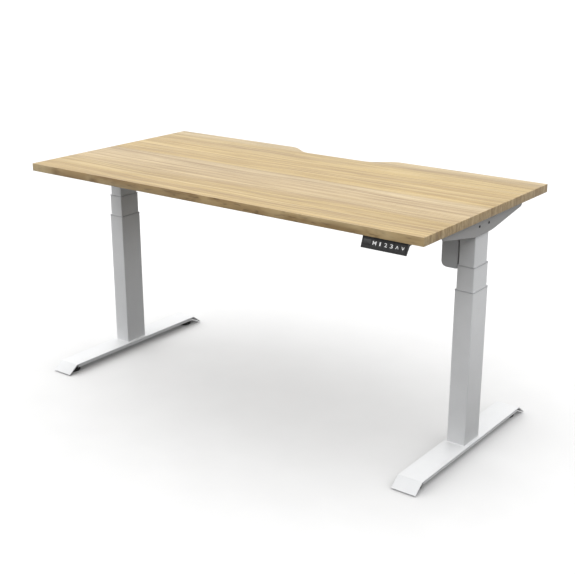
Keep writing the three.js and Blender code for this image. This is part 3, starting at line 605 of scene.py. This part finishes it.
def web_bottom(y):
    """Height of the web's lower edge: level, then a straight rise joined by a parabola, then a quarter circle."""
    y = np.abs(y)
    rise = (WEB_TIP_Z - WEB_FLAT_Z) / (BRACKET_HALF - WEB_FLAT)
    knee = np.clip(y - (WEB_FLAT - KNEE), 0, 2 * KNEE) ** 2 / (4 * KNEE)
    straight = np.clip(y - (WEB_FLAT + KNEE), 0, None)
    past = np.clip(y - (BRACKET_HALF - TIP_RADIUS), 0, TIP_RADIUS)
    tip = TIP_RADIUS - np.sqrt(TIP_RADIUS**2 - past**2)
    return WEB_FLAT_Z + rise * (knee + straight) + tip


def bracket_part():
    """Round the section (j) by along the bracket (i): four points follow the lower edge, the rest are fixed."""
    tip = BRACKET_HALF - TIP_RADIUS * (1 - np.sin(np.linspace(0, math.pi / 2, 9)))
    body = np.linspace(0, BRACKET_HALF - TIP_RADIUS, 40)[:-1]
    half = np.concatenate([body, tip])
    y = np.concatenate([-half[:0:-1], half])
    quarter = np.linspace(0, math.pi / 2, 7)
    centre = np.array([WEB_IN - BEND_IN, SHEET_UNDER - BEND_IN])
    inner = centre + BEND_IN * np.column_stack([np.cos(quarter), np.sin(quarter)])
    outer = centre + BEND_OUT * np.column_stack([np.cos(quarter[::-1]), np.sin(quarter[::-1])])
    edge = [
        (FLANGE_EDGE + ROUND, SHEET_UNDER), (FLANGE_EDGE, SHEET_UNDER + ROUND),
        (FLANGE_EDGE, SHEET_TOP - ROUND), (FLANGE_EDGE + ROUND, SHEET_TOP),
    ]  # fmt: skip
    fixed = np.concatenate([inner, edge, outer])
    foot_x = np.array([WEB_OUT, WEB_OUT - ROUND, WEB_IN + ROUND, WEB_IN])
    foot_z = np.array([ROUND, 0, 0, ROUND])[None, :] + web_bottom(y)[:, None]
    x = np.broadcast_to(np.concatenate([foot_x, fixed[:, 0]]), (len(y), len(fixed) + 4))
    z = np.concatenate([foot_z, np.broadcast_to(fixed[:, 1], (len(y), len(fixed)))], 1)
    return shell(np.stack([x, np.broadcast_to(y[:, None], x.shape), z], -1))


bracket = bracket_part()
for side in SIDES:
    # The brackets' darker grey is painted shade from the board above them.
    stand_in(f"{side}_side_bracket", placed(bracket, side), bracket_coat_painted_shade)
print("brackets:", len(bracket[1]), "faces each")

# %% [markdown]
# ## Motor cover
# The gear motor hangs beside the right column in a moulded cover. Its corner radii are what a mould needs, with the
# larger radius on the inboard side. A slab lying along y, with rounded front and rear edges, gives that form.
# %% Motor cover
cover_low, cover_high = box_mm("motor_cover")
cover_x0, cover_x1 = cover_low[0] - COLUMN_X, cover_high[0] - COLUMN_X
cover_half = (cover_high[1] - cover_low[1]) / 2
cover_corners = [
    (cover_low[2], cover_x0), (cover_low[2], cover_x1), (cover_high[2], cover_x1), (cover_high[2], cover_x0),
]  # fmt: skip
cover_outline = soft_corners(cover_corners, [20, 8, 0.5, 0.5], 8)
cover_form = along("y", slab(cover_outline, -cover_half, cover_half, 3.2, 5))
stand_in("motor_cover", placed(cover_form, "right"), cover_abs)

# %% [markdown]
# ## Crossbeam
# The beam is a rectangular tube, and a smaller tube slides in each of its ends to suit the length of the board.
# Each sliding rail ends in a plate that is bolted to the cast head over its column.
# %% Crossbeam
BEAM_WALL = 2.0
beam_low, beam_high = box_mm("crossbeam_middle")
beam_mid = (beam_low + beam_high) / 2
beam_outline = rounded_rectangle(*(beam_high - beam_low)[1:], 4.5) + beam_mid[1:]
beam_half = beam_high[0]
beam = along("x", hollow(beam_outline, BEAM_WALL, -beam_half, beam_half, 0.6))
stand_in("crossbeam_middle", beam, powder_coat)

rail_low, rail_high = box_mm("right_crossbeam_rail")
rail_outline = inset(rounded_rectangle(*(beam_high - beam_low)[1:], 4.5), BEAM_WALL + 0.3) + (0, beam_mid[2])
flange_size = (rail_high - rail_low)[1:]
flange_outline = rounded_rectangle(*flange_size, 5) + (0, (rail_low[2] + rail_high[2]) / 2)
rail_x0, rail_x1 = rail_low[0] - COLUMN_X, rail_high[0] - COLUMN_X
rail = joined(
    along("x", hollow(rail_outline, BEAM_WALL, rail_x0, rail_x1 - 1, 0.5)),
    along("x", slab(flange_outline, rail_x1 - 3, rail_x1, 0.5)),
)
for side in SIDES:
    stand_in(f"{side}_crossbeam_rail", placed(rail, side), powder_coat)

# %% [markdown]
# ## Refined CAD pieces
# The cast heads, the control box, the handset and the leads already have the right form. A merged copy of each gets
# rounded edges, as casting and moulding leave them, but a lead's copy is only merged. The drive inside the columns
# keeps its CAD mesh and only gets its finish, because it is never seen from close by.
# %% Refined pieces
REFINED = (
    ("control_box_body", black_abs, "black_plastic", 1.2),
    ("control_box_cover", black_abs, "black_plastic", 0.5),
    ("handset_case", black_abs, "black_plastic", 0.6),
    ("handset_panel", black_abs, "black_plastic", 0.15),
    ("handset_lead", sheath, "lead_sheath", 0),
    ("motor_lead", sheath, "lead_sheath", 0),
    ("drive_shaft", ground_steel, "screw_steel", 0.3),
)
for name, finish, slot, edge in REFINED:
    refined(name, finish, edge)
KEYS = ("key_memory", "key_preset_1", "key_preset_2", "key_preset_3", "key_up", "key_down")
for name in KEYS:
    refined(name, key_lacquer, 0.3)
for side in SIDES:
    refined(f"{side}_gear_head", cast_alloy, 1.2)

KEPT = {
    "spindle_post": zinc, "stage_carrier": zinc, "tube_screw": zinc, "lead_screw": ground_steel,
    "drive_gear": gear_nylon, "front_glide_stud": zinc, "rear_glide_stud": zinc,
}  # fmt: skip


def refinish(name, finish):
    """Gives a CAD node that stays its finish, in each of its material slots."""
    for each in frame["nodes"][name].material_slots:
        each.material = finish


for side in SIDES:
    for part_name, finish in KEPT.items():
        refinish(f"{side}_{part_name}", finish)
refinish("motor", zinc)
refinish("motor_pinion", ground_steel)
refinish("desktop", oak_laminate)

# %% [markdown]
# ## Handset legends
# The keys carry printed marks: M for memory, 1 to 3 for the stored heights, and two chevrons for up and down. Letters
# come from a font as a mesh, scaled to their real height and width, and lie 0.05 mm proud of the key like pad print.
# %% Legends
FACE_ORIGIN = np.array([628.0, -374.8, 699.5])
FACE_TILT = math.radians(19.6)
KEY_FRONT, KEY_MIDDLE, INK, WINDOW_X = -0.4, 17.5, 0.06, -52.5


def on_face(part, x, z, front):
    """A flat part (x, y, height) stood on the handset's leaning face: y runs up the face, height towards the user."""
    points, faces = part
    across_face = points[:, 0] + x
    up = points[:, 1] + z
    into = front - points[:, 2]
    y = into * math.cos(FACE_TILT) + up * math.sin(FACE_TILT)
    height = up * math.cos(FACE_TILT) - into * math.sin(FACE_TILT)
    return FACE_ORIGIN + np.column_stack([across_face, y, height]), faces


def letter(text, width, height):
    """A character from the built-in font, a trace bolder and scaled to its width and height, centred."""
    curve = bpy.data.curves.new("legend", "FONT")
    curve.body = text
    curve.offset = 0.004
    curve.extrude = 0.5
    drawn = bpy.data.objects.new("legend", curve)
    bpy.context.scene.collection.objects.link(drawn)
    mesh = bpy.data.meshes.new_from_object(drawn.evaluated_get(bpy.context.evaluated_depsgraph_get()))
    bpy.data.objects.remove(drawn)
    form = bmesh.new()
    form.from_mesh(mesh)
    bmesh.ops.remove_doubles(form, verts=form.verts, dist=1e-5)
    bmesh.ops.recalc_face_normals(form, faces=form.faces)
    points = np.array([v.co for v in form.verts])
    faces = [[v.index for v in face.verts] for face in form.faces]
    form.free()
    low, high = points.min(0), points.max(0)
    size = np.array([width, height, INK])
    return (points - [*((low + high) / 2)[:2], low[2]]) / (high - low) * size, faces


def chevron(up):
    """A chevron 9 mm wide and 8 mm high, pointing up or down."""
    corners = np.array([(-4.6, -4), (-2.9, -4), (0, 1.7), (2.9, -4), (4.6, -4), (0.85, 4), (-0.85, 4)])
    corners[:, 1] *= 1 if up else -1
    return slab(soft_corners(corners, 0.2, 2), 0, INK, 0.01, 1)


LEGENDS = (
    letter("M", 11.5, 10.5), letter("1", 4.0, 10.5), letter("2", 8.6, 10.5), letter("3", 8.6, 10.5),
    chevron(True), chevron(False),
)  # fmt: skip
for name, mark in zip(KEYS, LEGENDS):
    low, high = box_mm(name)
    x = (low[0] + high[0]) / 2 - FACE_ORIGIN[0]
    legend = on_face(mark, x, KEY_MIDDLE, KEY_FRONT - 0.005)
    add_piece(name + "_legend", legend, body_of(name), legend_ink)
window = slab(rounded_rectangle(24, 15, 1.5), 0, 0.35, 0.15)
display = on_face(window, WINDOW_X, KEY_MIDDLE, 0.32)
add_piece("display_window", display, "top_stage", smoked_acrylic)

# %% [markdown]
# ## Screws
# Button-head screws hold the frame together. The head is turned from a dome profile, and its last rows are pulled
# from a circle to a hexagon for the key: a hexagon's radius is its inner radius over the cosine of the angle from
# the middle of the nearest side.
# %% Screws


def screw_head(radius, height, key=0.42, sides=36):
    """A dome whose middle sinks in a hexagonal socket; key is the socket's inner radius as a share of the head's."""
    angle = np.linspace(0, 2 * math.pi, sides, endpoint=False)
    from_side = (angle + math.pi / 6) % (math.pi / 3) - math.pi / 6
    circle = np.ones(sides)
    hexagon = key / np.cos(from_side)
    levels = (
        (circle * 0.97, -0.2), (circle, 0.0), (circle, 0.25), (circle * 0.94, 0.55), (circle * 0.78, 0.85),
        (hexagon * 1.12, 1.0), (hexagon, 0.97), (hexagon, 0.35),
    )  # fmt: skip
    ring = radius * np.array([level for level, _ in levels])
    rise = height * np.array([share for _, share in levels])
    upright = np.broadcast_to(rise[:, None], ring.shape)
    return shell(np.stack([ring * np.cos(angle), ring * np.sin(angle), upright], -1))


DOWN, OUT, IN, FRONT, BACK = (0, 0, -1), (1, 0, 0), (-1, 0, 0), (0, -1, 0), (0, 1, 0)
WEB_SCREW_Z, COVER_SCREW_Z, CASE_SCREW_Y, CASE_UNDER = 709.7, 678, -318, 724.8
web_screws = [aimed(screw_head(3.9, 1.6), OUT, (WEB_OUT, y, WEB_SCREW_Z)) for y in (-28.3, 28.3)]
board_screws = [aimed(screw_head(5.5, 2.8), DOWN, (0, y, SHEET_UNDER)) for y in (-205, -100, 100, 205)]
cover_screws = [aimed(screw_head(3.0, 1.4), IN, (cover_x0, y, COVER_SCREW_Z)) for y in (-20, 20)]
foot_screws = [aimed(screw_head(6.5, 3.6), DOWN, (x, y, channel_low[2])) for x in (-16, 16) for y in (-30, 30)]
for side in SIDES:
    bracket_screws = joined(*web_screws, *board_screws)
    add_piece(f"{side}_bracket_screws", placed(bracket_screws, side), "top_stage", black_oxide)
    add_piece(f"{side}_foot_bolts", placed(joined(*foot_screws), side), f"{side}_base", zinc)
beam_screws = [aimed(screw_head(5.5, 3.0), DOWN, (x, beam_mid[1], beam_low[2])) for x in (-350, -290, 290, 350)]
box_low, box_high = box_mm("control_box_cover")
box_screws = [
    aimed(screw_head(3.2, 1.5), DOWN, (x, y, box_low[2]))
    for x in (box_low[0] + 9, box_high[0] - 9)
    for y in (box_low[1] + 9, box_high[1] - 9)
]
case_places = [(FACE_ORIGIN[0] + dx, CASE_SCREW_Y, CASE_UNDER) for dx in (-45, 45)]
handset_screws = [aimed(screw_head(4.0, 2.2), DOWN, place) for place in case_places]
underside_screws = joined(*beam_screws, *box_screws, *handset_screws, placed(joined(*cover_screws), "right"))
add_piece("underside_screws", underside_screws, "top_stage", black_oxide)

# %% [markdown]
# ## Plugs, grommets and clips
# Each lead leaves its cover through a moulded grommet, is clipped to the board and ends in a plug on the control
# box. A clip is a saddle: two flat feet and an arch over the lead, drawn once and carried along the lead for 9 mm.
# %% Lead fittings
LEAD_HEIGHT, BOARD_UNDER = 729.3, 733.0
MOTOR_OUTLET, HANDSET_OUTLET_Y = (646.5, 668), -300  # the motor lead's outlet in (x, z)
MOTOR_SOCKET, HANDSET_SOCKET = (130.1, 110, 715), (20, 60, 724)


def clip(radius):
    """The saddle's outline in (across, height below the board): feet 1.4 thick and a half circle round the lead."""
    turn = np.linspace(0, math.pi, 13)
    arch_radius = radius + 1.3
    centre = LEAD_HEIGHT - BOARD_UNDER
    arch = np.column_stack([-arch_radius * np.cos(turn), centre - arch_radius * np.sin(turn)])
    reach, half = arch_radius + 0.3, 9.5
    feet = np.array([(reach, -1.5), (half, -1.5), (half, -0.1), (-half, -0.1), (-half, -1.5), (-reach, -1.5)])
    outline = np.concatenate([arch, feet])
    return slab(outline, -4.5, 4.5, 0.25, 2)


def clip_at(x, y, heading, radius):
    """A clip on the board's underside at (x, y), with its opening along the heading, an angle from +x."""
    points, faces = clip(radius)
    run = np.array([math.cos(heading), math.sin(heading)])
    side_way = np.array([run[1], -run[0]])
    flat_place = np.array([x, y]) + points[:, 2:3] * run + points[:, 0:1] * side_way
    return np.column_stack([flat_place, BOARD_UNDER + points[:, 1]]), faces


clips = [clip_at(x, 110, 0, 2.5) for x in (520, 360, 200)]
HANDSET_CLIPS = ((500, -200, -290, 85), (300, -150, -380, 90), (120, -110, -260, 75))  # place, then run
clips += [clip_at(x, y, math.atan2(dy, dx), 2.0) for x, y, dx, dy in HANDSET_CLIPS]
add_piece("cable_clips", joined(*clips), "top_stage", black_abs)

GROMMET = ((3.0, -0.5), (6.0, -0.5), (6.2, 0.3), (6.0, 1.4), (4.6, 2.2), (4.0, 5.0), (3.4, 6.5), (3.0, 6.8))
lead_fittings = [aimed(slab(rounded_rectangle(16, 11, 2), 0.2, 17, 1.2), OUT, MOTOR_SOCKET)]
lead_fittings.append(aimed(slab(rounded_rectangle(13, 8, 1.5), 0.2, 14, 1.0), FRONT, HANDSET_SOCKET))
lead_fittings.append(aimed(turned(GROMMET), BACK, (FACE_ORIGIN[0], HANDSET_OUTLET_Y, LEAD_HEIGHT - 0.4)))
lead_fittings.append(aimed(turned(GROMMET), BACK, (MOTOR_OUTLET[0], FRAME_Y + cover_half, MOTOR_OUTLET[1])))
add_piece("lead_plugs", joined(*lead_fittings), "top_stage", black_abs)

pin = along("y", slab(rounded_rectangle(4, 2, 0.4), 148, 157, 0.3))
inlet_pins = [moved(pin, 80 + dx, 0, 715 + dz) for dx, dz in ((-7, -2), (7, -2), (0, 3))]
add_piece("inlet_pins", joined(*inlet_pins), "top_stage", zinc)

# %% [markdown]
# ## Floor and light
# The light is a white dome, as in a light tent: shadows are only the places that see less of the dome, so they stay
# soft. Towards the horizon the dome fades to a dark grey, its right-hand side is a little dimmer than its left, and
# the floor passes no light on. So faces that look up, forwards and sideways each get their own share of the light.
# Where the camera looks past the floor it sees a plain white backdrop instead of the dome.
# %% Floor and light
FLOOR_HALF = 40.0
DOME_TOP, DOME_BOTTOM, DOME_TILT, BACKDROP = 1.9, 0.12, 0.25, 1.0
floor_mesh = bpy.data.meshes.new("floor")
corners = np.array([(-1, -1, 0), (1, -1, 0), (1, 1, 0), (-1, 1, 0)]) * FLOOR_HALF
floor_mesh.from_pydata(corners.tolist(), [], [(0, 1, 2, 3)])
floor = bpy.data.objects.new("floor", floor_mesh)
bpy.context.scene.collection.objects.link(floor)
floor_mesh.materials.append(grained("pale_matt_floor", "d3d3d3", "d7d7d7", 3.0, 0.01, (0.85, 0.95), IOR=1.3))
floor.visible_diffuse = False

world = bpy.data.worlds.new("light_tent")
bpy.context.scene.world = world
world.use_nodes = True
sky = world.node_tree
direction = node(sky, "TexCoord").outputs["Generated"]
toward = node(sky, "SeparateXYZ", inputs={"Vector": direction}).outputs
fade = {"Value": toward["Z"], "From Min": 0.0, "From Max": 0.5, "To Min": DOME_BOTTOM, "To Max": DOME_TOP}
by_height = node(sky, "MapRange", inputs=fade).outputs[0]
tilt = {0: toward["X"], 1: -DOME_TILT, 2: 1.0}
by_side = node(sky, "Math", {"operation": "MULTIPLY_ADD"}, tilt).outputs[0]
strength = node(sky, "Math", {"operation": "MULTIPLY"}, {0: by_height, 1: by_side}).outputs[0]
seen = node(sky, "LightPath").outputs["Is Camera Ray"]
backdrop = node(sky, "Mix", inputs={0: seen, 2: strength, 3: BACKDROP}).outputs[0]
sky.nodes["Background"].inputs["Color"].default_value = linear("ffffff")
sky.links.new(backdrop, sky.nodes["Background"].inputs["Strength"])
bpy.context.scene.view_settings.view_transform = "Standard"
